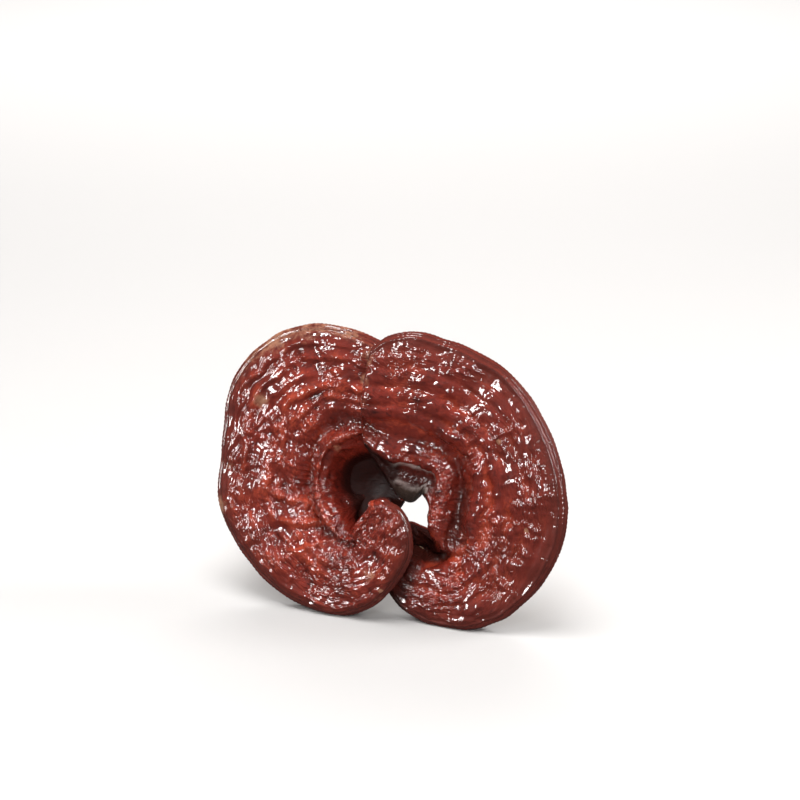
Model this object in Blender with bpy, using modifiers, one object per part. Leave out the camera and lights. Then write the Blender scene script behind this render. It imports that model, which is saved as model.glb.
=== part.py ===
"""Dried reishi mushroom: a woody cap grown as two fused, interlocking lobes round a deep
funnel, standing on its two lower rims and on the sawn end of the stem behind it.
Metres, +Z up, the face of the cap towards -Y, the origin on the floor under the middle."""

import math

import bmesh
import bpy
import numpy as np
from mathutils import Vector

MM = 0.001

# How the face of the cap stands
LEAN = math.radians(12)  # top leaning back
TURN = math.radians(18)  # right side brought forward
FACE_ORIGIN = Vector((2.5, -25.0, 4.02)) * MM

# Sections of a lobe
RINGS = 27  # along a lobe
CAP_REACH = 2.2 * MM  # how far a lobe's rounded end runs past its last ray
RIM_HALF = 3.9 * MM
SHOULDER = 4.4 * MM  # shoulder above the middle of the rim
BACK = 16.5 * MM  # back of the cap beside the stem, behind the face
MOST_FOLD = 0.13  # a fold's crest stays within this share of a short ray

# Neck behind the funnel, and the stem below its joint
JOINT_GAP = 0.3 * MM
FUNNEL_FLOOR = (-15.0, 41.0, -12.0)
NECK_RADII = (11.6, 12.2, 11.8, 10.6, 9.2, 8.2, 7.6, 7.4)
NECK_BACK = 6.0 * MM
NECK_DOWN = 12.0 * MM
NECK_BEND = 6.5 * MM  # how firmly the neck keeps its two directions where it bends
STEM_BEND = 16.0 * MM
STEM_STEPS = 13
END_STEP = 0.8 * MM  # short first and last steps of a tube, so that its ends are cut square
STEM_WAY = Vector((-0.16, 0.76, -0.63)).normalized()
STEM_RADIUS = 7.4 * MM
FOOT_SPREAD = 1.12  # radius of the sawn end against that of the joint
FOOT_PLACE = Vector((-8.6, 29.7, 0.0)) * MM

# The two lobes. Each ray of growth has its inner end, its rim, the inward reach of the funnel
# wall, the depth of its foot and the depth of the furrow outside the inner fold, in millimetres
# across, up and out of the face. fold is the crest's distance from the inner end; furrow_at and
# body_at are shares of a ray; wall holds two points of the funnel wall as shares of its reach
# and of its depth; back_reach is how far the back closes in, as a share of that reach.
LEFT_LOBE = {
    "rays": (
        ((-12.0, 58.0, -5.0), (-8.0, 91.0, -6.0), 7.0, -13.0, 1.0),
        ((-17.0, 59.0, -1.0), (-20.5, 95.7, -4.0), 9.0, -13.0, 2.5),
        ((-22.5, 57.3, 0.0), (-35.5, 97.2, -4.0), 9.0, -13.0, 4.0),
        ((-27.0, 54.0, 0.0), (-50.0, 92.8, -4.0), 9.0, -13.0, 4.5),
        ((-29.5, 48.5, 0.0), (-62.0, 82.5, -4.0), 9.0, -13.0, 5.0),
        ((-30.0, 43.5, 0.0), (-68.0, 70.0, -4.0), 9.0, -13.0, 5.5),
        ((-29.5, 39.5, 0.0), (-69.5, 50.0, -4.0), 9.0, -13.0, 5.5),
        ((-28.5, 36.0, 0.0), (-69.5, 31.0, -4.0), 9.0, -13.0, 5.5),
        ((-26.5, 32.0, 0.0), (-61.5, 16.0, -3.5), 9.0, -13.0, 4.5),
        ((-24.0, 28.5, 0.3), (-47.5, 3.0, -3.0), 8.0, -13.0, 3.0),
        ((-21.0, 25.5, 1.0), (-29.0, -4.3, -2.0), 7.0, -13.0, 1.5),
        ((-18.8, 25.0, 2.0), (-13.5, -3.0, -0.5), 5.0, -12.0, 0.5),
        ((-17.3, 25.5, 3.0), (-0.5, 8.5, 1.0), 3.0, -10.0, 0.0),
        ((-15.7, 28.6, 4.0), (5.2, 20.0, 2.2), 2.0, -8.0, 0.0),
        ((-13.4, 31.8, 5.0), (4.8, 29.5, 3.0), 2.0, -6.0, 0.0),
        ((-11.4, 34.2, 5.5), (1.6, 35.6, 3.5), 2.0, -5.0, 0.0),
        ((-10.0, 36.2, 5.5), (-3.2, 38.2, 3.8), 1.5, -4.0, 0.0),
    ),
    "fold": 1.9 * MM,
    "furrow_at": 0.165,
    "body_at": 0.31,
    "wall": ((0.62, 0.62), (0.28, 0.25)),
    "back_reach": 1.28,
}
RIGHT_LOBE = {
    "rays": (
        ((-15.5, 57.0, 0.5), (-12.5, 92.0, 2.0), 2.0, -6.0, 0.8),
        ((-11.0, 54.6, 0.5), (-7.5, 95.5, 1.8), 7.0, -9.5, 0.8),
        ((-5.2, 52.4, 0.8), (1.0, 97.5, 1.5), 12.5, -11.5, 1.0),
        ((1.0, 52.4, 0.6), (12.0, 95.8, 1.0), 15.5, -11.5, 1.6),
        ((6.0, 51.6, 0.3), (23.0, 92.8, 1.0), 15.5, -11.5, 2.4),
        ((9.8, 50.0, 0.3), (35.0, 86.5, 1.0), 14.0, -11.5, 3.4),
        ((11.6, 47.0, 0.5), (46.0, 75.0, 1.0), 11.0, -11.0, 4.6),
        ((11.2, 42.0, 1.0), (54.0, 60.5, 1.0), 7.0, -10.5, 5.5),
        ((10.2, 37.0, 1.2), (58.2, 43.7, 0.5), 3.0, -9.5, 5.5),
        ((9.6, 33.2, 1.2), (57.0, 29.5, -0.8), 2.5, -9.0, 5.0),
        ((9.8, 30.2, 0.8), (51.5, 16.5, -1.8), 2.0, -10.0, 4.0),
        ((10.2, 27.9, 0.0), (44.5, 7.5, -2.3), 1.5, -11.5, 3.2),
        ((10.2, 26.2, -2.2), (37.0, 1.0, -2.7), 1.5, -13.0, 2.8),
        ((7.8, 25.8, -6.5), (27.0, -3.2, -3.0), 1.0, -14.5, 2.2),
        ((3.5, 27.0, -10.8), (14.0, -3.8, -4.0), 0.5, -15.0, 2.0),
        ((-1.5, 28.0, -12.2), (2.5, 0.0, -5.2), 0.5, -15.0, 1.0),
        ((-5.5, 25.5, -12.0), (-6.0, 6.5, -7.0), 0.5, -14.0, 0.5),
    ),
    "fold": 3.2 * MM,
    "furrow_at": 0.21,
    "body_at": 0.36,
    "wall": ((0.60, 0.46), (0.22, 0.36)),
    "back_reach": 0.9,
}


def clear_scene():
    for obj in list(bpy.data.objects):
        bpy.data.objects.remove(obj, do_unlink=True)


def new_collection(name, hidden=False):
    collection = bpy.data.collections.new(name)
    bpy.context.scene.collection.children.link(collection)
    collection.hide_render = hidden
    return collection


def new_material(name, colour, roughness):
    material = bpy.data.materials.new(name)
    material.use_nodes = True
    shader = material.node_tree.nodes["Principled BSDF"]
    shader.inputs["Base Color"].default_value = (*colour, 1.0)
    shader.inputs["Roughness"].default_value = roughness
    shader.inputs["Metallic"].default_value = 0.0
    return material


def face_axes():
    """Across, up and out of the cap's face, as unit vectors."""
    across = np.array((math.cos(TURN), -math.sin(TURN), 0.0))
    out = np.array((-math.sin(TURN) * math.cos(LEAN), -math.cos(TURN) * math.cos(LEAN), math.sin(LEAN)))
    return across, np.cross(out, across), out


def from_face(points):
    """Points given across, up and out of the face, in metres, as world points."""
    return np.array(FACE_ORIGIN) + np.asarray(points) @ np.array(face_axes())


def smooth_through(values, places):
    """Catmull-Rom curve through the rows of values, read at places counted in rows."""
    padded = np.concatenate([2 * values[:1] - values[1:2], values, 2 * values[-1:] - values[-2:-1]])
    start = np.clip(np.floor(places).astype(int), 0, len(values) - 2)
    t = (places - start)[:, None]
    a, b, c, d = (padded[start + step] for step in range(4))
    return 0.5 * (2 * b + (c - a) * t + (2 * a - 5 * b + 4 * c - d) * t**2 + (3 * b - a - 3 * c + d) * t**3)


def lobe_section(lobe, length, inner_out, rim_out, reach, foot_out, furrow):
    """One closed section along a ray, as (distance along the ray, height out of the face)."""
    fold = min(lobe["fold"], MOST_FOLD * length)
    shoulder_out = rim_out + SHOULDER
    body_out = 0.15 * (inner_out - furrow) + 0.85 * shoulder_out
    wall = [(-out * reach, inner_out + drop * (foot_out - inner_out)) for out, drop in lobe["wall"]]
    return (
        (-reach, foot_out),
        *wall,
        (-0.1 * MM, inner_out - 1.0 * MM),
        (fold, inner_out),
        (2.0 * fold, inner_out - 0.4 * furrow - 0.2 * MM),
        (lobe["furrow_at"] * length, inner_out - furrow),
        (lobe["body_at"] * length, body_out - 0.8 * MM),
        (0.60 * length, shoulder_out - 0.1 * MM),
        (0.84 * length, shoulder_out),
        (length - 0.35 * RIM_HALF, rim_out + 0.72 * RIM_HALF),
        (length, rim_out),
        (length - 0.4 * RIM_HALF, rim_out - 0.85 * RIM_HALF),
        (0.72 * length, rim_out - 1.25 * RIM_HALF),
        (0.42 * length, 0.5 * (rim_out - 1.25 * RIM_HALF) - 0.5 * (BACK - 3.5 * MM)),
        (0.10 * length, -BACK + 1.0 * MM),
        (-lobe["back_reach"] * reach - 0.5 * MM, -BACK),
    )


def lobe_rings(lobe):
    """Rings of world points for one lobe, its two ends rounded off."""
    rays = [(*inner, *rim, reach, foot, furrow) for inner, rim, reach, foot, furrow in lobe["rays"]]
    rows = np.array(rays) * MM
    rings = []
    for row in smooth_through(rows, np.linspace(0, len(rows) - 1, RINGS)):
        inner, rim = row[0:3], row[3:6]
        ray = rim[:2] - inner[:2]
        length = float(np.hypot(*ray))
        section = np.array(lobe_section(lobe, length, inner[2], rim[2], *row[6:9]))
        ring = np.column_stack([inner[:2] + section[:, :1] * ray / length, section[:, 1]])
        rings.append(ring)
    rings = round_end(rings[::-1])
    rings = round_end(rings[::-1])
    return [from_face(ring) for ring in rings]


def round_end(rings):
    """The rings with two smaller ones after the last, which close the lobe in a rounded end."""
    last, before = rings[-1], rings[-2]
    middle = last.mean(axis=0)
    onward = middle - before.mean(axis=0)
    onward = onward / np.linalg.norm(onward)
    ends = []
    for along, scale in ((0.7, 0.72), (1.0, 0.3)):
        ends.append(middle + (last - middle) * scale + onward * CAP_REACH * along)
    return rings + ends


def lobe_object(name, lobe, collection, material):
    """A lobe as a coarse cage of rings, softened by Subdivision Surface."""
    rings = lobe_rings(lobe)
    mesh = bpy.data.meshes.new(name)
    body = bmesh.new()
    loops = [[body.verts.new(point) for point in ring] for ring in rings]
    for loop, after in zip(loops, loops[1:]):
        for i in range(len(loop)):
            j = (i + 1) % len(loop)
            body.faces.new((loop[i], loop[j], after[j], after[i]))
    body.faces.new(loops[0])
    body.faces.new(loops[-1][::-1])
    bmesh.ops.recalc_face_normals(body, faces=body.faces)
    body.to_mesh(mesh)
    body.free()
    mesh.shade_smooth()
    mesh.materials.append(material)
    obj = bpy.data.objects.new(name, mesh)
    collection.objects.link(obj)
    soft = obj.modifiers.new("Softened", "SUBSURF")
    soft.levels = 1
    soft.render_levels = 1
    return obj


def as_helper(obj):
    obj.hide_render = True
    obj.display_type = "WIRE"


def bend(start, start_way, end, end_way, reach, count):
    """Points on a curve that leaves start along start_way and meets end along end_way."""
    near = start + start_way * reach
    far = end - end_way * reach
    points = []
    for step in range(count):
        t = step / (count - 1)
        leaving = (1 - t) ** 3 * start + 3 * (1 - t) ** 2 * t * near
        arriving = 3 * (1 - t) * t**2 * far + t**3 * end
        points.append(leaving + arriving)
    return points


def tube(name, route, radii, collection, material):
    """A capped round tube along the route, with its own radius at each point."""
    curve = bpy.data.curves.new(name, "CURVE")
    curve.dimensions = "3D"
    curve.bevel_depth = MM
    curve.bevel_resolution = 6
    curve.use_fill_caps = True
    spline = curve.splines.new("POLY")
    spline.points.add(len(route) - 1)
    for point, place, radius in zip(spline.points, route, radii):
        point.co = (*place, 1.0)
        point.radius = radius / MM
    curve.materials.append(material)
    obj = bpy.data.objects.new(name, curve)
    collection.objects.link(obj)
    return obj


def as_mesh(obj, collection):
    """The curve object made a closed mesh, so that a Boolean can use it."""
    bpy.context.view_layer.update()
    graph = bpy.context.evaluated_depsgraph_get()
    mesh = bpy.data.meshes.new_from_object(obj.evaluated_get(graph))
    welded = bmesh.new()
    welded.from_mesh(mesh)
    bmesh.ops.remove_doubles(welded, verts=welded.verts, dist=0.00001)
    welded.to_mesh(mesh)
    welded.free()
    solid = bpy.data.objects.new(obj.name + " solid", mesh)
    solid.matrix_world = obj.matrix_world
    collection.objects.link(solid)
    bpy.data.objects.remove(obj, do_unlink=True)
    return solid


def joint_place():
    """Middle of the neck's flat end, where the stem begins."""
    floor = Vector(from_face(np.array(FUNNEL_FLOOR) * MM))
    back = -Vector(face_axes()[2])
    return floor, back, floor + back * NECK_BACK + STEM_WAY * NECK_DOWN


def neck_object(collection, material):
    """The flared neck that closes the funnel and turns down to the stem."""
    floor, back, joint = joint_place()
    route = bend(floor, back, joint, STEM_WAY, NECK_BEND, len(NECK_RADII) - 1)
    route.insert(-1, joint - STEM_WAY * END_STEP)
    radii = [radius * MM for radius in NECK_RADII]
    return as_mesh(tube("Neck", route, radii, collection, material), collection)


def join_to(obj, other):
    union = obj.modifiers.new("With " + other.name, "BOOLEAN")
    union.operation = "UNION"
    union.solver = "EXACT"
    union.object = other


def stem_object(collection, material):
    """The stem, bent down from the neck to a sawn end flat on the floor."""
    start = joint_place()[2] + STEM_WAY * JOINT_GAP
    down = Vector((0.0, 0.0, -1.0))
    route = bend(start, STEM_WAY, FOOT_PLACE, down, STEM_BEND, STEM_STEPS)
    route.insert(1, start + STEM_WAY * END_STEP)
    route.insert(-1, FOOT_PLACE - down * END_STEP)
    radii = []
    for place in range(len(route)):
        share = place / (len(route) - 1)
        radii.append(STEM_RADIUS * (1.0 + (FOOT_SPREAD - 1.0) * share - 0.05 * math.sin(math.pi * share)))
    return tube("stem", route, radii, collection, material)


def main():
    clear_scene()
    mushroom = new_collection("Dried reishi mushroom")
    joined = new_collection("Joined shapes", hidden=True)
    lacquered = new_material("Lacquered cap", (0.24, 0.045, 0.03), 0.3)
    bark = new_material("Stem crust", (0.08, 0.02, 0.015), 0.35)
    cap = lobe_object("cap", LEFT_LOBE, mushroom, lacquered)
    right_lobe = lobe_object("Right lobe", RIGHT_LOBE, joined, lacquered)
    for helper in (right_lobe, neck_object(joined, lacquered)):
        as_helper(helper)
        join_to(cap, helper)
    stem_object(mushroom, bark)


main()
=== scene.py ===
import math

import bpy
import numpy as np
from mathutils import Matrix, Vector


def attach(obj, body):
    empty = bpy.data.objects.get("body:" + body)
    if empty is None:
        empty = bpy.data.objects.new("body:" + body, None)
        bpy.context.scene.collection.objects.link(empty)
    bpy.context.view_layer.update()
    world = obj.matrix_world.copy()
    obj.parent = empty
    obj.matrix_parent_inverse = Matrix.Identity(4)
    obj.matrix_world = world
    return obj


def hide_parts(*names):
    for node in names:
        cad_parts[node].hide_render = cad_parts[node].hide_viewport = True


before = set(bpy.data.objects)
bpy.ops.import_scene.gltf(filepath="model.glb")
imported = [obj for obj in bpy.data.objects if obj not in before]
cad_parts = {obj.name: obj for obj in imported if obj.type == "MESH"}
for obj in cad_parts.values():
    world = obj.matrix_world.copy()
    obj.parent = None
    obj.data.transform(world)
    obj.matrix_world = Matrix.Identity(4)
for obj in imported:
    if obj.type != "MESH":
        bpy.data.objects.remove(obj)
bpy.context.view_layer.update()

mm = 0.001

# camera, floor and lights

shot = {
    "elevation": 18.0,
    "distance": 0.75,
    "lens": 100.0,
    "aim": Vector((4.2, -25.0, 81.2)) * mm,   # beside, in front of and above the origin
}


def placeCamera(s):
    data = bpy.data.cameras.new("camera")
    data.lens = s["lens"]
    data.sensor_width = 36.0
    data.clip_start = 0.01
    camera = bpy.data.objects.new("camera", data)
    bpy.context.collection.objects.link(camera)
    tilt = math.radians(s["elevation"])
    away = Vector((0.0, -math.cos(tilt), math.sin(tilt)))
    camera.location = s["aim"] + away * s["distance"]
    camera.rotation_euler = away.to_track_quat("Z", "Y").to_euler()
    bpy.context.scene.camera = camera


studio = {
    "air": (1.0, 0.995, 0.99),
    "airStrength": 0.62,       # what falls on the floor and the crust
    "mirroredAir": 0.10,       # what the lacquer mirrors of it
    "floorColour": (0.405, 0.394, 0.387),
    # name, place, size x, size y, power
    "softLamps": [
        ("softTop", (-0.10, -0.12, 0.75), 0.50, 0.36, 8.2),
        ("softRight", (0.66, 0.02, 0.42), 0.20, 0.40, 4.0),
        ("softFront", (-0.10, -0.85, 0.75), 0.30, 0.20, 3.5),
    ],
    "sweepLamp": ("sweepLight", (0.0, 1.3, 1.2), 1.4, 0.9, 41.0),
    # small and bright, seen only in the lacquer
    "glintLamps": [
        ("topGlint", (-0.22, -0.12, 0.75), 0.20, 0.11, 3.7),
        ("leftGlint", (-0.60, -0.50, 0.30), 0.15, 0.22, 5.6),
        ("rightGlint", (0.66, 0.02, 0.42), 0.09, 0.32, 4.9),
        ("nearGlint", (0.10, -1.0, 0.12), 0.11, 0.08, 1.4),
        ("frontGlint", (-0.10, -0.85, 0.75), 0.14, 0.09, 2.1),
        ("lowGlint", (-0.72, -0.42, 0.12), 0.08, 0.12, 1.4),
    ],
    "rimLamp": ("rimGlint", (0.50, -0.65, 0.54), 0.035, 0.75, 8.5),
    # where the lamps look
    "middle": (0.0, 0.0, 0.05),
    "sweepTarget": (0.0, 1.6, 0.0),
    "rimTarget": (0.03, -0.03, 0.06),
}


def hangLamp(lamp, target, inLacquer):
    # a lamp either lights matt surfaces or shows in the lacquer
    name, place, wide, high, power = lamp
    data = bpy.data.lights.new(name, "AREA")
    data.shape = "RECTANGLE"
    data.size = wide
    data.size_y = high
    data.energy = power
    holder = bpy.data.objects.new(name, data)
    holder.location = place
    holder.rotation_euler = (Vector(place) - Vector(target)).to_track_quat("Z", "Y").to_euler()
    bpy.context.collection.objects.link(holder)
    holder.visible_diffuse = not inLacquer
    holder.visible_glossy = inLacquer


def setStudio(s):
    scene = bpy.context.scene
    scene.view_settings.view_transform = "Standard"
    world = bpy.data.worlds.new("studio")
    scene.world = world
    world.use_nodes = True
    air = world.node_tree.nodes["Background"]
    air.inputs["Color"].default_value = (*s["air"], 1.0)
    sight = world.node_tree.nodes.new("ShaderNodeLightPath")
    strength = world.node_tree.nodes.new("ShaderNodeMapRange")
    strength.inputs["To Min"].default_value = s["airStrength"]
    strength.inputs["To Max"].default_value = s["mirroredAir"]
    world.node_tree.links.new(sight.outputs["Is Glossy Ray"], strength.inputs["Value"])
    world.node_tree.links.new(strength.outputs["Result"], air.inputs["Strength"])
    for lamp in s["softLamps"]:
        hangLamp(lamp, s["middle"], inLacquer=False)
    hangLamp(s["sweepLamp"], s["sweepTarget"], inLacquer=False)
    for lamp in s["glintLamps"]:
        hangLamp(lamp, s["middle"], inLacquer=True)
    hangLamp(s["rimLamp"], s["rimTarget"], inLacquer=True)


def layFloor(colour):
    mesh = bpy.data.meshes.new("paperFloor")
    side = 6.0
    corners = [(-side, -side, 0), (side, -side, 0), (side, side, 0), (-side, side, 0)]
    mesh.from_pydata(corners, [], [(0, 1, 2, 3)])
    floor = bpy.data.objects.new("paperFloor", mesh)
    bpy.context.collection.objects.link(floor)
    paper = bpy.data.materials.new("palePaper")
    paper.use_nodes = True
    shader = paper.node_tree.nodes["Principled BSDF"]
    shader.inputs["Base Color"].default_value = (*colour, 1.0)
    shader.inputs["Roughness"].default_value = 0.75
    shader.inputs["Specular IOR Level"].default_value = 0.2
    mesh.materials.append(paper)
    floor.visible_glossy = False   # keeps a grey haze out of the lacquer


placeCamera(shot)
setStudio(studio)
layFloor(studio["floorColour"])
print("studio set")

# how the face of the cap stands, as in the solid model

stance = {"lean": math.radians(12), "turn": math.radians(18), "origin": np.array((2.5, -25.0, 4.02))}


def faceAxes():
    lean, turn = stance["lean"], stance["turn"]
    across = np.array((math.cos(turn), -math.sin(turn), 0.0))
    out = np.array((-math.sin(turn) * math.cos(lean), -math.cos(turn) * math.cos(lean), math.sin(lean)))
    return np.array((across, np.cross(out, across), out))


def standUp(points):
    # face millimetres to world metres
    return (stance["origin"] + points @ faceAxes()) * mm


# small tools: ramps, splines and noise on arrays

def ramp(x, low, high):
    t = np.clip((x - low) / (high - low), 0.0, 1.0)
    return t * t * (3 - 2 * t)


def hump(x, middle, width):
    return np.exp(-((x - middle) / width) ** 2)


def smoothPiece(padded, start, t):
    # Catmull-Rom curve between the second and third of four points
    a, b, c, d = (padded[start + step] for step in range(4))
    return 0.5 * (2 * b + (c - a) * t + (2 * a - 5 * b + 4 * c - d) * t**2 + (3 * b - a - 3 * c + d) * t**3)


def smoothThrough(values, places):
    padded = np.concatenate([2 * values[:1] - values[1:2], values, 2 * values[-1:] - values[-2:-1]])
    start = np.clip(np.floor(places).astype(int), 0, len(values) - 2)
    return smoothPiece(padded, start, (places - start).reshape(-1, *([1] * (values.ndim - 1))))


def smoothClosed(padded, places):
    start = np.floor(places).astype(int)
    return smoothPiece(padded, start, (places - start)[:, None, None])


def latticePull(x, y, z, fx, fy, fz, seed):
    # gradient at one lattice corner, dotted with the offset from it; the large numbers scramble the corner
    h = x * np.uint32(374761393) + y * np.uint32(668265263) + z * np.uint32(2246822519)
    h = h + np.uint32(seed * 3266489917 % 4294967296)
    h = (h ^ (h >> np.uint32(13))) * np.uint32(1274126177)
    h = h ^ (h >> np.uint32(16))
    spin = (h & np.uint32(0xFFFF)).astype(float) * (2 * math.pi / 65536)
    rise = ((h >> np.uint32(16)) & np.uint32(0xFFFF)).astype(float) / 32767.5 - 1.0
    flat = np.sqrt(np.maximum(0.0, 1 - rise * rise))
    return flat * np.cos(spin) * fx + flat * np.sin(spin) * fy + rise * fz


def grain(x, y, z, seed=0):
    # gradient noise, about -1 to 1
    x, y, z = np.broadcast_arrays(x, y, z)
    ix, iy, iz = np.floor(x), np.floor(y), np.floor(z)
    fx, fy, fz = x - ix, y - iy, z - iz
    ix, iy, iz = (i.astype(np.int64).astype(np.uint32) for i in (ix, iy, iz))
    sx, sy, sz = (f * f * f * (f * (f * 6 - 15) + 10) for f in (fx, fy, fz))
    total = 0.0
    for dx in (0, 1):
        for dy in (0, 1):
            for dz in (0, 1):
                corner = (ix + np.uint32(dx), iy + np.uint32(dy), iz + np.uint32(dz))
                pull = latticePull(*corner, fx - dx, fy - dy, fz - dz, seed)
                share = (sx if dx else 1 - sx) * (sy if dy else 1 - sy) * (sz if dz else 1 - sz)
                total = total + share * pull
    return total * 1.6


def creased(n, edge=0.12):
    # turns noise into rounded ridges that wander, 0 in the hollows to 1 on the crests
    return 1.0 - np.sqrt(n * n + edge * edge) / math.sqrt(1 + edge * edge)


# the two lobes of the cap

# each ray: inner end, rim, reach of the funnel wall, depth of its foot, depth of the furrow
leftLobe = {
    "name": "leftLobe",
    "rays": [
        ((-12.0, 58.0, -5.0), (-8.0, 91.0, -6.0), 7.0, -13.0, 1.0),
        ((-17.0, 59.0, -1.0), (-20.5, 95.7, -4.0), 9.0, -13.0, 2.5),
        ((-22.5, 57.3, 0.0), (-35.5, 97.2, -4.0), 9.0, -13.0, 4.0),
        ((-27.0, 54.0, 0.0), (-50.0, 92.8, -4.0), 9.0, -13.0, 4.5),
        ((-29.5, 48.5, 0.0), (-62.0, 82.5, -4.0), 9.0, -13.0, 5.0),
        ((-30.0, 43.5, 0.0), (-68.0, 70.0, -4.0), 9.0, -13.0, 5.5),
        ((-29.5, 39.5, 0.0), (-69.5, 50.0, -4.0), 9.0, -13.0, 5.5),
        ((-28.5, 36.0, 0.0), (-69.5, 31.0, -4.0), 9.0, -13.0, 5.5),
        ((-26.5, 32.0, 0.0), (-61.5, 16.0, -3.5), 9.0, -13.0, 4.5),
        ((-24.0, 28.5, 0.3), (-47.5, 3.0, -3.0), 8.0, -13.0, 3.0),
        ((-21.0, 25.5, 1.0), (-29.0, -4.3, -2.0), 7.0, -13.0, 1.5),
        ((-18.8, 25.0, 2.0), (-13.5, -3.0, -0.5), 5.0, -12.0, 0.5),
        ((-17.3, 25.5, 3.0), (-0.5, 8.5, 1.0), 3.0, -10.0, 0.0),
        ((-15.7, 28.6, 4.0), (5.2, 20.0, 2.2), 2.0, -8.0, 0.0),
        ((-13.4, 31.8, 5.0), (4.8, 29.5, 3.0), 2.0, -6.0, 0.0),
        ((-11.4, 34.2, 5.5), (1.6, 35.6, 3.5), 2.0, -5.0, 0.0),
        ((-10.0, 36.2, 5.5), (-3.2, 38.2, 3.8), 1.5, -4.0, 0.0),
    ],
    "fold": 1.7,
    "wall": ((0.62, 0.62), (0.28, 0.25)),
    "backReach": 1.28,
    "furrowAt": 0.155,
    "bodyAt": 0.29,
    # growth rings: share of the way to the rim, height, width
    "rings": [
        (0.27, 0.9, 0.03),
        (0.38, 1.6, 0.035),
        (0.49, 2.3, 0.04),
        (0.60, 0.6, 0.03),
        (0.71, 1.5, 0.035),
        (0.84, 1.2, 0.03),
    ],
    # folds drawn on the face: their course, height and width
    "folds": [
        (((-46.0, 36.0), (-36.0, 33.0), (-30.0, 31.0)), 1.2, 1.3),
        (((-44.0, 27.0), (-35.0, 26.5), (-28.0, 27.5)), 1.3, 1.2),
        (((-34.0, 18.0), (-29.0, 20.5), (-24.0, 22.0)), 1.0, 1.1),
    ],
    "shadows": [],
    "crest": 0.9,
    "poresTo": 0.86,
    "brownFrom": 0.62,
    # depths at which painted shade starts to darken the funnel wall and where it is black
    "dark": (4.5, 12.0),
    # strength of each zone by the share of the way round, and out from the funnel where it matters:
    # the shelf's pale edges, the painted shade where the lobe starts, the painted shade in the furrow behind
    # the lip, dust along the rim, the calmer tongue, and how crowded the wrinkles are
    "shelf": lambda turn: 0 * turn,
    "start": lambda turn: 0 * turn,
    "furrowShade": lambda turn: 0.35 * (1 - ramp(turn, 0.55, 0.70)),
    "edgeDust": lambda turn: 0.20 + 0.30 * ramp(turn, 0.02, 0.08) * (1 - ramp(turn, 0.22, 0.34)),
    "tongue": lambda turn: ramp(turn, 0.42, 0.62),
    "busy": lambda q, turn: 0.40 + 0.32 * ramp(turn, 0.30, 0.50) * (1 - ramp(q, 0.80, 0.95)),
    "seed": 3,
}
rightLobe = {
    "name": "rightLobe",
    "rays": [
        ((-15.5, 57.0, 0.5), (-12.5, 92.0, 2.0), 2.0, -6.0, 0.8),
        ((-11.0, 54.6, 0.5), (-7.5, 95.5, 1.8), 7.0, -9.5, 0.8),
        ((-5.2, 52.4, 0.8), (1.0, 97.5, 1.5), 12.5, -11.5, 1.0),
        ((1.0, 52.4, 0.6), (12.0, 95.8, 1.0), 15.5, -11.5, 1.6),
        ((6.0, 51.6, 0.3), (23.0, 92.8, 1.0), 15.5, -11.5, 2.4),
        ((9.8, 50.0, 0.3), (35.0, 86.5, 1.0), 14.0, -11.5, 3.4),
        ((11.6, 47.0, 0.5), (46.0, 75.0, 1.0), 11.0, -11.0, 4.6),
        ((11.2, 42.0, 1.0), (54.0, 60.5, 1.0), 7.0, -10.5, 5.5),
        ((10.2, 37.0, 1.2), (58.2, 43.7, 0.5), 3.0, -9.5, 5.5),
        ((9.6, 33.2, 1.2), (57.0, 29.5, -0.8), 2.5, -9.0, 5.0),
        ((9.8, 30.2, 0.8), (51.5, 16.5, -1.8), 2.0, -10.0, 4.0),
        ((10.2, 27.9, 0.0), (44.5, 7.5, -2.3), 1.5, -11.5, 3.2),
        ((10.2, 26.2, -2.2), (37.0, 1.0, -2.7), 1.5, -13.0, 2.8),
        ((7.8, 25.8, -6.5), (27.0, -3.2, -3.0), 1.0, -14.5, 2.2),
        ((3.5, 27.0, -10.8), (14.0, -3.8, -4.0), 0.5, -15.0, 2.0),
        ((-1.5, 28.0, -12.2), (2.5, 0.0, -5.2), 0.5, -15.0, 1.0),
        ((-5.5, 25.5, -12.0), (-6.0, 6.5, -7.0), 0.5, -14.0, 0.5),
    ],
    "fold": 3.2,
    "wall": ((0.60, 0.46), (0.22, 0.36)),
    "backReach": 0.9,
    "furrowAt": 0.20,
    "bodyAt": 0.34,
    "rings": [
        (0.27, 1.2, 0.03),
        (0.42, 2.0, 0.035),
        (0.58, 1.8, 0.035),
        (0.73, 1.5, 0.03),
        (0.85, 0.8, 0.025),
    ],
    "folds": [
        (((22.4, 29.0), (20.6, 24.5), (21.4, 17.0)), 1.9, 1.1),
        (((20.4, 21.5), (16.0, 21.0), (8.5, 16.0)), 1.5, 1.0),
        (((5.5, 21.5), (8.0, 19.0)), 0.9, 0.7),
    ],
    # shade beside the tongue: its course, width and strength
    "shadows": [(((5.0, 30.0), (6.0, 21.0), (4.0, 13.0), (0.5, 6.5), (-2.5, 1.0)), 4.6, 0.75)],
    "crest": 0.5,
    "poresTo": 1.1,
    "brownFrom": 0.45,
    "dark": (3.5, 11.0),
    "shelf": lambda turn: ramp(turn, 0.02, 0.10) * (1 - ramp(turn, 0.36, 0.44)),
    "start": lambda turn: 1 - ramp(turn, 0.05, 0.13),
    "furrowShade": lambda turn: 0.15 + 0.55 * ramp(turn, 0.36, 0.48) * (1 - ramp(turn, 0.68, 0.76)),
    "edgeDust": lambda turn: 0.12 + 0 * turn,
    "tongue": lambda turn: 0.6 * ramp(turn, 0.70, 0.85),
    "busy": lambda q, turn: 0.45 + 0.35 * ramp(turn, 0.45, 0.7) * (1 - ramp(q, 0.75, 0.9)),
    "seed": 11,
}
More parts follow.
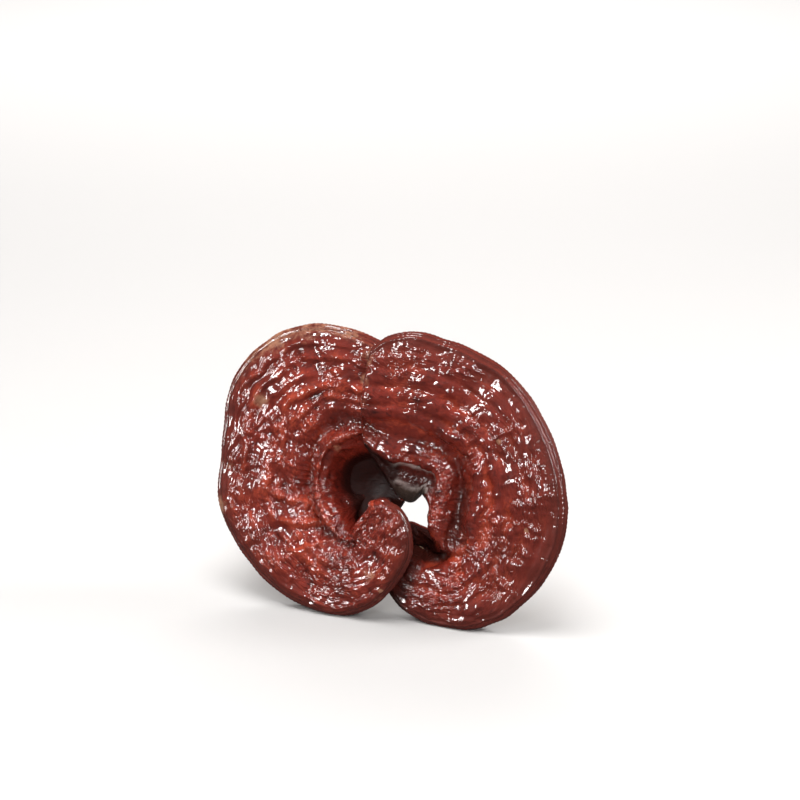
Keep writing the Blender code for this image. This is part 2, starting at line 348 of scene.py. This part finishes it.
capBuild = {
    "fineRays": 1200,
    "stations": 306,
    "endStations": 9,
    "endReach": 2.2,
    "rimHalf": 3.9,
    "shoulder": 4.4,
    "back": 16.5,
    # rows of the closed section: from and to which of its 17 corners, and how many
    "rows": [(0, 3, 16), (3, 7, 34), (7, 9, 42), (9, 12, 34), (12, 15, 8), (15, 17, 5)],
    # growth grooves round the rim: row, depth and width in rows
    "rimGrooves": [
        (9.40, 0.30, 0.12),
        (9.85, 0.55, 0.13),
        (10.35, 0.60, 0.13),
        (10.80, 0.50, 0.12),
        (11.25, 0.35, 0.10),
    ],
    # rows between which the underside is pores
    "poreRows": (11.9, 15.5),
}
# how high each kind of relief stands, in millimetres
high = {
    "ripple": 0.08,
    "crumple": 2.1,
    "fine": 0.6,
    "radial": 0.72,
    "arcs": 0.63,
    "busyArcs": 0.9,
    "lumps": 1.5,
    "squiggle": 0.55,
    "shelfEdge": 0.7,
    "wallCrumple": 1.1,
    "wallFine": 0.6,
    "wallLumps": 0.6,
    "rimTicks": 0.10,
    "rimWaver": 0.35,
    "poreLumps": 0.9,
    "poreZones": 0.30,
    "poreRays": 0.35,
}


def sectionCorners(lobe, length, innerOut, rimOut, reach, foot, furrow):
    # 17 corners of the closed section for every station, as distance along the ray and height
    rim, shoulder, back = capBuild["rimHalf"], capBuild["shoulder"], capBuild["back"]
    fold = np.minimum(lobe["fold"], 0.13 * length)
    body = 0.15 * (innerOut - furrow) + 0.85 * (rimOut + shoulder)
    corners = [
        (-reach, foot),
        *((-out * reach, innerOut + drop * (foot - innerOut)) for out, drop in lobe["wall"]),
        (-0.1, innerOut - 1.0),
        (fold, innerOut),
        (2.0 * fold, innerOut - 0.40 * furrow - 0.2),
        (lobe["furrowAt"] * length, innerOut - furrow),
        (lobe["bodyAt"] * length, body - 0.8),
        (0.60 * length, rimOut + shoulder - 0.1),
        (0.84 * length, rimOut + shoulder),
        (length - 0.35 * rim, rimOut + 0.72 * rim),
        (length, rimOut),
        (length - 0.4 * rim, rimOut - 0.85 * rim),
        (0.72 * length, rimOut - 1.25 * rim),
        (0.42 * length, 0.5 * (rimOut - 1.25 * rim) - 0.5 * (back - 3.5)),
        (0.10 * length, 0 * length - back + 1.0),
        (-lobe["backReach"] * reach - 0.5, 0 * length - back),
    ]
    return np.array([np.stack(np.broadcast_arrays(a, b), axis=-1) for a, b in corners])


def rowPlaces():
    runs = [np.linspace(low, high, count, endpoint=False) for low, high, count in capBuild["rows"]]
    return np.concatenate(runs)


def raysAlong(lobe):
    # the ray table read finely, at even steps round the lobe
    table = np.array([(*inner, *rim, *rest) for inner, rim, *rest in lobe["rays"]])
    fine = smoothThrough(table, np.linspace(0, len(table) - 1, capBuild["fineRays"]))
    mid = 0.3 * fine[:, 0:2] + 0.7 * fine[:, 3:5]
    travel = np.concatenate([[0.0], np.cumsum(np.linalg.norm(np.diff(mid, axis=0), axis=1))])
    stations = np.linspace(0, travel[-1], capBuild["stations"])
    return stations, np.column_stack([np.interp(stations, travel, column) for column in fine.T])


def shapeLobe(lobe):
    stations, rays = raysAlong(lobe)
    inner, rim, reach, foot, furrow = rays[:, 0:3], rays[:, 3:6], rays[:, 6], rays[:, 7], rays[:, 8]
    ray = rim[:, :2] - inner[:, :2]
    length = np.linalg.norm(ray, axis=1)
    corners = sectionCorners(lobe, length, inner[:, 2], rim[:, 2], reach, foot, furrow)
    places = rowPlaces()
    closed = np.concatenate([corners[-1:], corners, corners[:2]])
    section = smoothClosed(closed, places).transpose(1, 0, 2)
    unit = ray / length[:, None]
    onFace = inner[:, None, :2] + section[:, :, :1] * unit[:, None, :]
    return {
        "points": np.concatenate([onFace, section[:, :, 1:]], axis=2),
        "row": np.broadcast_to(places[None, :], section.shape[:2]),
        "share": section[:, :, 0] / length[:, None],
        "r": section[:, :, 0],
        "length": np.broadcast_to(length[:, None], section.shape[:2]),
        "along": np.broadcast_to(stations[:, None], section.shape[:2]),
        "turn": np.broadcast_to((stations / stations[-1])[:, None], section.shape[:2]),
    }


def outwards(points):
    # unit normals of a grid that is closed along its second axis
    alongRows = np.roll(points, -1, axis=1) - np.roll(points, 1, axis=1)
    alongStations = np.gradient(points, axis=0)
    normal = np.cross(alongRows, alongStations)
    return normal / np.maximum(np.linalg.norm(normal, axis=2, keepdims=True), 1e-9)


# matt tan dust and chips: middle of the patch on the face, its size and strength
dusty = [
    (-53.9, 68.7, 2.6, 1.0),
    (-51.2, 91.0, 6.5, 0.7),
    (-39.0, 95.0, 6.5, 0.55),
    (-61.0, 83.0, 4.5, 0.55),
    (-15.0, 88.0, 4.0, 0.65),
    (-15.5, 79.7, 3.4, 0.7),
    (-15.5, 72.0, 3.2, 0.55),
    (-68.3, 29.3, 4.2, 0.85),
    (-66.0, 45.0, 4.0, 0.5),
    (-9.0, 12.5, 4.0, 0.5),
    (-25.5, 54.5, 2.2, 0.6),
    (34.2, 63.6, 1.0, 1.5),
    (-4.3, 7.7, 0.8, 1.5),
    (45.5, 33.9, 0.8, 1.5),
]


def dustOn(p):
    x, y = p[..., 0], p[..., 1]
    total = 0 * x
    for across, up, size, strength in dusty:
        total = np.maximum(total, strength * np.exp(-((x - across) ** 2 + (y - up) ** 2) / size**2))
    return total


def offLine(x, y, line):
    # distance to the nearest piece of a bent line on the face
    nearest = np.inf + 0 * x
    for (ax, ay), (bx, by) in zip(line[:-1], line[1:]):
        goX, goY = bx - ax, by - ay
        t = np.clip(((x - ax) * goX + (y - ay) * goY) / (goX**2 + goY**2), 0, 1)
        nearest = np.minimum(nearest, np.hypot(x - ax - t * goX, y - ay - t * goY))
    return nearest


def growthRings(lobe, g, wander):
    # crests, steep towards the funnel and gentle towards the rim, lower where the lobe is narrow
    x, y, z = np.moveaxis(g["points"], -1, 0)
    rings = 0 * g["share"]
    for place, height, width in lobe["rings"]:
        patchy = 0.62 + 0.8 * grain(g["along"] / 8, place * 40, 0.3, lobe["seed"] + 2)
        past = g["share"] + wander - place
        rings = rings + height * patchy * hump(past, 0, np.where(past > 0, 1.3 * width, 0.6 * width))
    ripple = np.sin(2 * math.pi * (g["r"] / 2.7 + 22 * wander))
    rings = rings + high["ripple"] * ripple * (0.4 + 0.8 * grain(x / 9, y / 9, z / 9, lobe["seed"] + 3))
    return rings * np.clip(g["length"] / 48, 0.1, 1) ** 1.5


def wrinkleNoises(g, seed):
    # each kind of wrinkle as noise, before it has its height
    x, y, z = np.moveaxis(g["points"], -1, 0)
    r, along = g["r"], g["along"]
    bendX = x + 1.3 * grain(x / 5.5, y / 5.5, z / 5.5, seed + 4)
    bendY = y + 1.3 * grain(x / 5.5, y / 5.5, z / 5.5 + 7, seed + 5)
    slip = 0.5 * grain(along / 6, r / 5, 0.1, seed + 8)
    return {
        "crumple": creased(grain(bendX / 4.6, bendY / 4.6, z / 4.6, seed + 6), 0.22) - 0.55,
        "fine": creased(grain(bendX / 2.3, bendY / 2.3, z / 2.3, seed + 7), 0.25) - 0.55,
        "radial": creased(grain(along / 3.2 + slip, r / 10, 0.7, seed + 9), 0.2) - 0.55,
        "arcs": creased(grain(along / 7.5 + slip, r / 2.3 + 1.5 * slip, 0.2, seed + 14), 0.2) - 0.55,
        "squiggle": creased(grain(along / 5.0 + 2 * slip, r / 2.7, 0.4, seed + 17), 0.18) - 0.5,
        "lumps": grain(x / 10, y / 10, z / 10, seed + 10),
        # 0 in the calm stretches, 1 in the crowded ones
        "crowd": ramp(grain(x / 11, y / 11, z / 11, seed + 18), -0.35, 0.25),
    }


def faceRelief(lobe, g, n, busy, wander):
    x, y = g["points"][..., 0], g["points"][..., 1]
    tongue = lobe["tongue"](g["turn"])
    total = growthRings(lobe, g, wander) * (1.1 - 0.5 * busy)
    total = total + busy * (1 - 0.45 * tongue) * (high["crumple"] * n["crumple"] + high["fine"] * n["fine"])
    folds = high["radial"] * n["radial"] + (high["arcs"] + high["busyArcs"] * busy) * n["arcs"]
    total = total + (1.1 - 0.4 * busy) * (0.5 + 0.65 * n["crowd"]) * folds
    total = total + high["lumps"] * n["lumps"] + high["squiggle"] * n["squiggle"] * tongue
    for line, height, wide in lobe["folds"]:
        total = total + height * hump(offLine(x, y, line), 0, wide)
    return total


def lipRelief(lobe, g):
    # the raised ring round the funnel's mouth
    uneven = 0.75 + 0.5 * grain(g["along"] / 5, 0.3, 0.6, lobe["seed"] + 16)
    return lobe["crest"] * hump(g["row"], 4.0, 0.30) * uneven


def wallRelief(n):
    return high["wallCrumple"] * n["crumple"] + high["wallFine"] * n["fine"] + high["wallLumps"] * n["lumps"]


def shelfEdges(lobe, g, n):
    # two wavy edges of older layers inside the funnel
    waver = 0.30 * grain(g["along"] / 6, 0.4, 0.9, lobe["seed"] + 15) + 0.2 * n["lumps"]
    return hump(g["row"], 2.45 + waver, 0.13) + 0.9 * hump(g["row"], 1.15 + waver, 0.12)


def rimGrooves(g, seed):
    wave = 0.10 * grain(g["along"] / 8, 0.2, 0.8, seed + 11)
    grooves = 0 * g["row"]
    for place, deep, width in capBuild["rimGrooves"]:
        grooves = grooves - deep * hump(g["row"] + wave, place, width)
    return grooves


def rimRelief(g, seed):
    # short ticks across the grooves, and a slow waver
    along = g["along"]
    ticks = np.sin(2 * math.pi * along / 1.25 + 3 * grain(along / 5, 0.1, 0.2, seed + 12))
    return high["rimTicks"] * ticks + high["rimWaver"] * grain(along / 6, g["row"] / 2, 0.4, seed + 13)


def poreRelief(g, n, wander):
    zones = np.sin(2 * math.pi * (g["r"] / 7.0 + 12 * wander))
    return high["poreLumps"] * n["lumps"] + high["poreZones"] * zones + high["poreRays"] * n["radial"]


def addRelief(lobe, g):
    p, q, row, along, seed = g["points"], g["share"], g["row"], g["along"], lobe["seed"]
    front = ramp(row, 0.2, 1.4) * (1 - ramp(row, 11.3, 12.2))
    face = ramp(q, -0.03, 0.06) * (1 - ramp(q, 0.90, 0.975)) * front
    wall = (1 - ramp(q, 0.0, 0.08)) * front
    rimZone = ramp(row, 9.1, 9.6) * (1 - ramp(row, 11.6, 12.0))
    under = ramp(row, 11.8, 12.6) * (1 - ramp(row, 15.6, 16.4))
    shelf = lobe["shelf"](g["turn"])
    wander = 0.045 * grain(along / 15, q * 3, 0.5, seed) + 0.022 * grain(along / 5, q * 6, 1.5, seed + 1)
    n = wrinkleNoises(g, seed)
    busy = lobe["busy"](q, g["turn"]) * (0.35 + 0.85 * n["crowd"])
    edges = shelfEdges(lobe, g, n) * shelf
    grooves = rimGrooves(g, seed) * rimZone

    total = face * faceRelief(lobe, g, n, busy, wander)
    total = total + front * lipRelief(lobe, g) + high["shelfEdge"] * edges
    total = total + wall * wallRelief(n)
    total = total + grooves + rimZone * rimRelief(g, seed)
    total = total + under * poreRelief(g, n, wander)

    # the relief's height is kept as a mark: the finish paints the hollows darker and the crests lighter from
    # it, as painted shade and painted light
    g["relief"] = np.clip((total - 0.7 * n["lumps"] * face) / 1.5, -1, 1) * front
    g["rim"] = rimZone
    g["outer"] = ramp(q + 0.10 * n["lumps"], lobe["brownFrom"], 1.0) * front
    g["busy"] = busy
    g["dust"] = np.maximum(dustOn(p), lobe["edgeDust"](g["turn"]) * rimZone) * front
    paintedShade = paintedShadeOn(lobe, g)
    lit = shelf * (1 - np.minimum(paintedShade, 1))
    g["bare"] = lit * ramp(1.15 + 0.2 * n["lumps"] - row, 0, 0.15)
    g["edge"] = edges * (1 - np.minimum(paintedShade, 1))
    # painted shade: darker in the furrow behind the lip, deeper down the funnel, on the shelf's lower wall,
    # where the lobe starts, beside the tongue and in the rim grooves
    furrow = hump(q, lobe["furrowAt"] + 0.01, 0.08) * front * lobe["furrowShade"](g["turn"])
    depth = ramp(-p[..., 2], *lobe["dark"]) + 0.62 * shelf * ramp(2.75 - row, 0, 0.35) + paintedShade
    g["shadeAndDarkTone"] = np.clip(depth * ramp(12.6 - row, 0, 0.6) + furrow - 0.9 * grooves, 0, 1)
    g["points"] = p + outwards(p) * total[..., None]
    return g


def paintedShadeOn(lobe, g):
    # painted shade where the lobe begins inside the funnel, and painted shadow where the tongue lies over it
    paintedShade = lobe["start"](g["turn"]) * ramp(3.6 - g["row"], 0, 1.0)
    for line, wide, strength in lobe["shadows"]:
        paintedShade = paintedShade + strength * hump(offLine(g["points"][..., 0], g["points"][..., 1], line), 0, wide)
    return paintedShade


def roundEnds(g):
    # smaller and smaller rings past the first and the last station close the lobe
    keys = [key for key in g if key != "points"]
    for end in (0, -1):
        p = g["points"]
        last, before = p[end], p[1 if end == 0 else -2]
        middle = last.mean(axis=0)
        onward = middle - before.mean(axis=0)
        onward = onward / np.linalg.norm(onward)
        extra = []
        for step in range(1, capBuild["endStations"] + 1):
            angle = 0.5 * math.pi * step / capBuild["endStations"]
            scale = max(math.cos(angle), 0.02)
            extra.append(middle + (last - middle) * scale + onward * capBuild["endReach"] * math.sin(angle))
        extra = np.array(extra)
        g["points"] = np.concatenate([extra[::-1], p]) if end == 0 else np.concatenate([p, extra])
        for key in keys:
            edge = np.repeat(g[key][end][None], len(extra), axis=0)
            g[key] = np.concatenate([edge, g[key]]) if end == 0 else np.concatenate([g[key], edge])
    return g


def gridMesh(name, points, marks, materialOf=None):
    # closed tube of quads from a grid of points, its two ends capped
    stations, rows = points.shape[:2]
    index = np.arange(stations * rows).reshape(stations, rows)
    after = np.roll(index, -1, axis=1)
    quads = np.stack([index[:-1], index[1:], after[1:], after[:-1]], axis=-1).reshape(-1, 4)
    faces = quads.tolist() + [index[0].tolist(), index[-1][::-1].tolist()]
    mesh = bpy.data.meshes.new(name)
    mesh.from_pydata(points.reshape(-1, 3).tolist(), [], faces)
    for key, values in marks.items():
        layer = mesh.attributes.new(key, "FLOAT", "POINT")
        layer.data.foreach_set("value", values.reshape(-1).astype(np.float32))
    if materialOf is not None:
        picks = np.concatenate([materialOf.reshape(-1), [0, 0]]).astype(np.int32)
        mesh.polygons.foreach_set("material_index", picks)
    mesh.shade_smooth()
    mesh.validate()
    mesh.update()
    obj = bpy.data.objects.new(name, mesh)
    bpy.context.collection.objects.link(obj)
    return obj


# what the finishes read from each mesh
markNames = ("relief", "rim", "outer", "shadeAndDarkTone", "dust", "bare", "edge", "busy")


def lobeObject(lobe, materials):
    g = roundEnds(addRelief(lobe, shapeLobe(lobe)))
    world = standUp(g["points"])
    world[..., 2] = np.maximum(world[..., 2], 0.00005)   # the two feet stand flat on the floor
    marks = {name: g[name] for name in markNames}
    marks.update({"arc": g["along"] / 10, "reach": g["r"] / 10})
    poresFrom, poresEnd = capBuild["poreRows"]
    row = g["row"][:-1]
    porous = (row > poresFrom) & (row < poresEnd) & (g["turn"][:-1] < lobe["poresTo"])
    obj = gridMesh(lobe["name"], world, marks, porous)
    for material in materials:
        obj.data.materials.append(material)
    return obj


def tubeMarks(x, z, relief, shadeAndDarkTone):
    marks = {name: 0 * relief for name in markNames}
    marks.update({"relief": relief, "shadeAndDarkTone": shadeAndDarkTone})
    marks.update({"arc": x / 10, "reach": z / 10})
    return marks


neck = {
    "floor": (-15.0, 41.0, -12.0),
    # radius and depth of the funnel floor
    "bowl": [(0.4, 2.4), (3.5, 2.1), (6.0, 1.3), (8.0, 0.7), (10.2, 0.2), (11.8, 0.1)],
    "bowlRings": 18,
    # rings that go straight back from the face
    "straight": 24,
    # first and last ring over which the painted shade on the funnel floor turns to the stalk's own dark red
    "reddens": (26, 36),
    "radii": (12.0, 12.2, 11.8, 10.6, 9.2, 8.2, 7.6, 7.4),
    "back": 6.0,
    "down": 12.0,
    "way": Vector((-0.16, 0.76, -0.63)).normalized(),
    "around": 72,
    "rings": 44,
    "pull": 6.5,
    "relief": (0.5, 0.3),
}
stem = {
    "foot": (-8.6, 29.7, 0.0),
    "radius": 7.4,
    "spread": 1.12,
    "around": 110,
    "rings": 120,
    "sink": 0.6,
    "pull": 16.0,
    "waist": 0.05,
    "relief": (0.5, 0.35),
    # how dark the stalk is
    "shadeAndDarkTone": 0.42,
}


def bend(start, startWay, end, endWay, reach, count):
    near, far = start + startWay * reach, end - endWay * reach
    t = np.linspace(0, 1, count)[:, None]
    start, near, far, end = (np.array(v) for v in (start, near, far, end))
    leaving = (1 - t) ** 3 * start + 3 * (1 - t) ** 2 * t * near
    arriving = 3 * (1 - t) * t**2 * far + t**3 * end
    return leaving + arriving


def neckEnds():
    axes = faceAxes()
    floor = Vector(stance["origin"] + np.array(neck["floor"]) @ axes)
    back = -Vector(axes[2])
    return floor, back, floor + back * neck["back"] + neck["way"] * neck["down"]


def tubeGrid(route, radii, around, startWay=None, straight=0):
    # rings of points about a route, all in millimetres
    way = np.gradient(route, axis=0)
    if straight:
        way[:straight] = startWay
    way = way / np.linalg.norm(way, axis=1, keepdims=True)
    side = np.cross(way, (1.0, 0.0, 0.0))
    side = side / np.linalg.norm(side, axis=1, keepdims=True)
    other = np.cross(way, side)
    angle = np.linspace(0, 2 * math.pi, around, endpoint=False)
    circle = side[:, None] * np.cos(angle)[None, :, None] + other[:, None] * np.sin(angle)[None, :, None]
    return route[:, None] + circle * np.asarray(radii)[:, None, None], circle


def neckObject():
    floor, back, joint = neckEnds()
    route = bend(floor, back, joint, neck["way"], neck["pull"], neck["rings"])
    share = np.linspace(0, len(neck["radii"]) - 1, neck["rings"])
    radii = smoothThrough(np.array(neck["radii"])[:, None], share)[:, 0]
    bowl = smoothThrough(np.array(neck["bowl"]), np.linspace(0, len(neck["bowl"]) - 1, neck["bowlRings"]))
    route = np.concatenate([np.array(floor) + np.array(back) * bowl[:, 1:], route])
    radii = np.concatenate([bowl[:, 0], radii])
    points, circle = tubeGrid(route, radii, neck["around"], np.array(back), neck["straight"])
    x, y, z = np.moveaxis(points, -1, 0)
    slow, fine = neck["relief"]
    folds = slow * grain(x / 5, y / 5, z / 5, 31) + fine * creased(grain(x / 2.6, y / 2.6, z / 2.6, 32))
    points = points + circle * folds[..., None]
    ring = np.arange(len(points))[:, None] + 0 * folds
    shadeAndDarkTone = 1 - (1 - stem["shadeAndDarkTone"]) * ramp(ring, *neck["reddens"])
    return gridMesh("neck", points * mm, tubeMarks(x, z, folds - 0.3, shadeAndDarkTone))


def uniteCap(parts):
    cap = parts[0]
    for part in parts[1:]:
        joined = cap.modifiers.new("with " + part.name, "BOOLEAN")
        joined.operation = "UNION"
        joined.solver = "MANIFOLD"
        joined.object = part
        with bpy.context.temp_override(object=cap):
            bpy.ops.object.modifier_apply(modifier=joined.name)
        bpy.data.objects.remove(part, do_unlink=True)
    return cap


# finishes

def newFinish(name):
    material = bpy.data.materials.new(name)
    material.use_nodes = True
    nodes = material.node_tree.nodes
    return material, nodes, material.node_tree.links, nodes["Principled BSDF"]


def mark(nodes, name):
    node = nodes.new("ShaderNodeAttribute")
    node.attribute_name = name
    return node.outputs["Fac"]


def noiseNode(nodes, links, place, scale, detail=3.0, rough=0.55, warp=0.0):
    node = nodes.new("ShaderNodeTexNoise")
    node.inputs["Scale"].default_value = scale
    node.inputs["Detail"].default_value = detail
    node.inputs["Roughness"].default_value = rough
    node.inputs["Distortion"].default_value = warp
    links.new(place, node.inputs["Vector"])
    return node.outputs["Fac"]


def spread(nodes, links, value, fromLow, fromHigh, toLow=0.0, toHigh=1.0):
    node = nodes.new("ShaderNodeMapRange")
    node.interpolation_type = "SMOOTHSTEP"
    node.inputs["From Min"].default_value = fromLow
    node.inputs["From Max"].default_value = fromHigh
    node.inputs["To Min"].default_value = toLow
    node.inputs["To Max"].default_value = toHigh
    links.new(value, node.inputs["Value"])
    return node.outputs["Result"]


def blend(nodes, links, amount, low, high):
    node = nodes.new("ShaderNodeMix")
    node.data_type = "RGBA"
    for socket, value in ((node.inputs[0], amount), (node.inputs[6], low), (node.inputs[7], high)):
        if isinstance(value, bpy.types.NodeSocket):
            links.new(value, socket)
        elif isinstance(value, tuple):
            socket.default_value = (*value, 1.0)
        else:
            socket.default_value = value
    return node.outputs[2]


def sums(nodes, links, kind, first, second):
    node = nodes.new("ShaderNodeMath")
    node.operation = kind
    for socket, value in zip(node.inputs, (first, second)):
        if isinstance(value, bpy.types.NodeSocket):
            links.new(value, socket)
        else:
            socket.default_value = value
    return node.outputs[0]


def times(nodes, links, first, second):
    return sums(nodes, links, "MULTIPLY", first, second)


def bumpFrom(nodes, links, height, strength, distance):
    bump = nodes.new("ShaderNodeBump")
    bump.inputs["Strength"].default_value = strength
    bump.inputs["Distance"].default_value = distance
    links.new(height, bump.inputs["Height"])
    return bump.outputs["Normal"]


crust = {
    # deep, body and bright follow the relief: painted shade in the creases, painted light on the crests
    "deep": (0.034, 0.0032, 0.0022),
    "body": (0.148, 0.0138, 0.0072),
    "bright": (0.28, 0.035, 0.015),
    "dust": (0.30, 0.145, 0.088),
    "outer": (0.092, 0.0125, 0.0080),
    "rimBrown": (0.10, 0.017, 0.011),
    # black is painted shade in the funnel, beside the tongue and in the rim grooves, and the stalk's own
    # dark tone
    "black": (0.019, 0.0042, 0.0030),
    "bare": (0.10, 0.070, 0.056),
    "edge": (0.46, 0.385, 0.36),
    "roughness": 0.45,
    "specular": 0.08,
    "coatRoughness": 0.022,
    "coatIor": 1.47,
    "bump": 0.42,
    "bumpDistance": 0.001,
    "pucker": 0.12,
}


def crustColour(nodes, links, c, mottle, blotch, crinkle, dust):
    shadeAndDarkTone = mark(nodes, "shadeAndDarkTone")
    # tone: the relief and the crinkles paint shade into the creases and light onto the crests, and the
    # mottle varies it at random
    tone = sums(nodes, links, "ADD", times(nodes, links, mark(nodes, "relief"), 0.46), mottle)
    creases = sums(nodes, links, "SUBTRACT", crinkle, 0.5)
    tone = sums(nodes, links, "ADD", tone, times(nodes, links, creases, 0.6))
    colour = blend(nodes, links, spread(nodes, links, tone, 0.10, 0.62), c["deep"], c["body"])
    colour = blend(nodes, links, spread(nodes, links, tone, 0.62, 1.05), colour, c["bright"])
    darkened = times(nodes, links, spread(nodes, links, blotch, 0.45, 0.7), 0.45)
    colour = blend(nodes, links, darkened, colour, c["deep"])
    patchy = spread(nodes, links, mottle, 0.3, 0.7, 0.35, 0.8)
    colour = blend(nodes, links, times(nodes, links, mark(nodes, "outer"), patchy), colour, c["outer"])
    colour = blend(nodes, links, times(nodes, links, mark(nodes, "rim"), 0.5), colour, c["rimBrown"])
    # painted shade: towards black deep in the funnel, in the furrow, beside the tongue and in the rim
    # grooves; on the stalk this is its own dark tone
    colour = blend(nodes, links, spread(nodes, links, shadeAndDarkTone, 0.15, 0.95, 0.0, 0.95), colour, c["black"])
    colour = blend(nodes, links, dust, colour, c["dust"])
    bared = spread(nodes, links, mark(nodes, "bare"), 0.1, 0.9, 0.0, 0.9)
    colour = blend(nodes, links, bared, colour, c["bare"])
    return blend(nodes, links, times(nodes, links, mark(nodes, "edge"), 0.9), colour, c["edge"])


def crustShine(nodes, links, dust):
    # the lacquer is thin where the crust is dusty or bare, and is left off where shade is painted deep in
    # the funnel
    undusted = spread(nodes, links, dust, 0.0, 0.6, 1.0, 0.15)
    unshaded = spread(nodes, links, mark(nodes, "shadeAndDarkTone"), 0.45, 0.95, 1.0, 0.0)
    covered = spread(nodes, links, mark(nodes, "bare"), 0.1, 0.7, 1.0, 0.05)
    return times(nodes, links, times(nodes, links, undusted, unshaded), covered)


def crustHeight(nodes, links, c, crinkle, pucker):
    # deeper in the crowded stretches, shallower on the rim
    crowded = spread(nodes, links, mark(nodes, "busy"), 0.10, 0.85, 0.30, 1.75)
    height = times(nodes, links, crinkle, crowded)
    height = sums(nodes, links, "ADD", height, times(nodes, links, pucker, c["pucker"]))
    return times(nodes, links, height, spread(nodes, links, mark(nodes, "rim"), 0.2, 0.9, 1.0, 0.3))


def crustFinish(c):
    material, nodes, links, shader = newFinish("lacqueredCrust")
    place = nodes.new("ShaderNodeTexCoord").outputs["Object"]
    blotch = noiseNode(nodes, links, place, 90.0, 4.0)
    mottle = noiseNode(nodes, links, place, 420.0, 4.0, 0.6, 0.6)
    pucker = noiseNode(nodes, links, place, 620.0, 0.0, 0.5, 0.8)
    # crinkles drawn out along the growth: wide round the lobe, close from funnel to rim
    grown = nodes.new("ShaderNodeCombineXYZ")
    links.new(times(nodes, links, mark(nodes, "arc"), 2.4), grown.inputs["X"])
    links.new(times(nodes, links, mark(nodes, "reach"), 6.0), grown.inputs["Y"])
    crinkle = noiseNode(nodes, links, grown.outputs["Vector"], 1.0, 1.0, 0.5, 1.4)
    dusty = sums(nodes, links, "ADD", mark(nodes, "dust"), times(nodes, links, mottle, 1.3))
    dust = spread(nodes, links, dusty, 0.95, 1.50, 0.0, 0.8)

    links.new(crustColour(nodes, links, c, mottle, blotch, crinkle, dust), shader.inputs["Base Color"])
    links.new(crustShine(nodes, links, dust), shader.inputs["Coat Weight"])
    shader.inputs["Roughness"].default_value = c["roughness"]
    shader.inputs["Specular IOR Level"].default_value = c["specular"]
    shader.inputs["Coat Roughness"].default_value = c["coatRoughness"]
    shader.inputs["Coat IOR"].default_value = c["coatIor"]
    height = crustHeight(nodes, links, c, crinkle, pucker)
    normal = bumpFrom(nodes, links, height, c["bump"], c["bumpDistance"])
    links.new(normal, shader.inputs["Normal"])
    links.new(normal, shader.inputs["Coat Normal"])
    return material


pores = {
    "light": (0.33, 0.21, 0.13),
    "dark": (0.15, 0.085, 0.05),
    "scale": 2600.0,
    "roughness": 0.8,
    "bump": 0.6,
    "bumpDistance": 0.0002,
}


def poreFinish(c):
    material, nodes, links, shader = newFinish("poreLayer")
    place = nodes.new("ShaderNodeTexCoord").outputs["Object"]
    dots = nodes.new("ShaderNodeTexVoronoi")
    dots.inputs["Scale"].default_value = c["scale"]
    links.new(place, dots.inputs["Vector"])
    distance = dots.outputs["Distance"]
    stain = noiseNode(nodes, links, place, 60.0, 5.0)
    colour = blend(nodes, links, spread(nodes, links, stain, 0.35, 0.7), c["light"], c["dark"])
    colour = blend(nodes, links, spread(nodes, links, distance, 0.15, 0.4, 0.6, 0.0), colour, c["dark"])
    links.new(colour, shader.inputs["Base Color"])
    shader.inputs["Roughness"].default_value = c["roughness"]
    normal = bumpFrom(nodes, links, distance, c["bump"], c["bumpDistance"])
    links.new(normal, shader.inputs["Normal"])
    return material


crustMaterial = crustFinish(crust)
poreMaterial = poreFinish(pores)
print("finishes mixed")

finishes = (crustMaterial, poreMaterial)
cap = uniteCap([lobeObject(leftLobe, finishes), lobeObject(rightLobe, finishes), neckObject()])
cap.name = "reishiCap"
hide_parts("cap")
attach(cap, "root")
print("cap grown:", sum(len(p.vertices) - 2 for p in cap.data.polygons), "triangles")


def stemObject(s):
    joint = neckEnds()[2]
    foot = Vector(s["foot"])
    way = neck["way"]
    down = Vector((0.0, 0.0, -1.0))
    route = bend(joint - way * s["sink"], way, foot, down, s["pull"], s["rings"])
    share = np.linspace(0, 1, s["rings"])
    radii = s["radius"] * (1 + (s["spread"] - 1) * share - s["waist"] * np.sin(math.pi * share))
    points, circle = tubeGrid(route, radii, s["around"])
    x, y, z = np.moveaxis(points, -1, 0)
    slow, fine = s["relief"]
    folds = slow * grain(x / 6, y / 6, z / 6, 41) + fine * creased(grain(x / 2.6, y / 2.6, z / 5, 42)) - 0.3
    points = points + circle * folds[..., None]
    points[..., 2] = np.maximum(points[..., 2], 0.0)   # the saw cut is flat on the floor
    obj = gridMesh("reishiStem", points * mm, tubeMarks(x, z, folds, s["shadeAndDarkTone"] + 0 * folds))
    obj.data.materials.append(crustMaterial)
    return obj


stemPiece = stemObject(stem)
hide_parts("stem")
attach(stemPiece, "root")
print("stem grown")
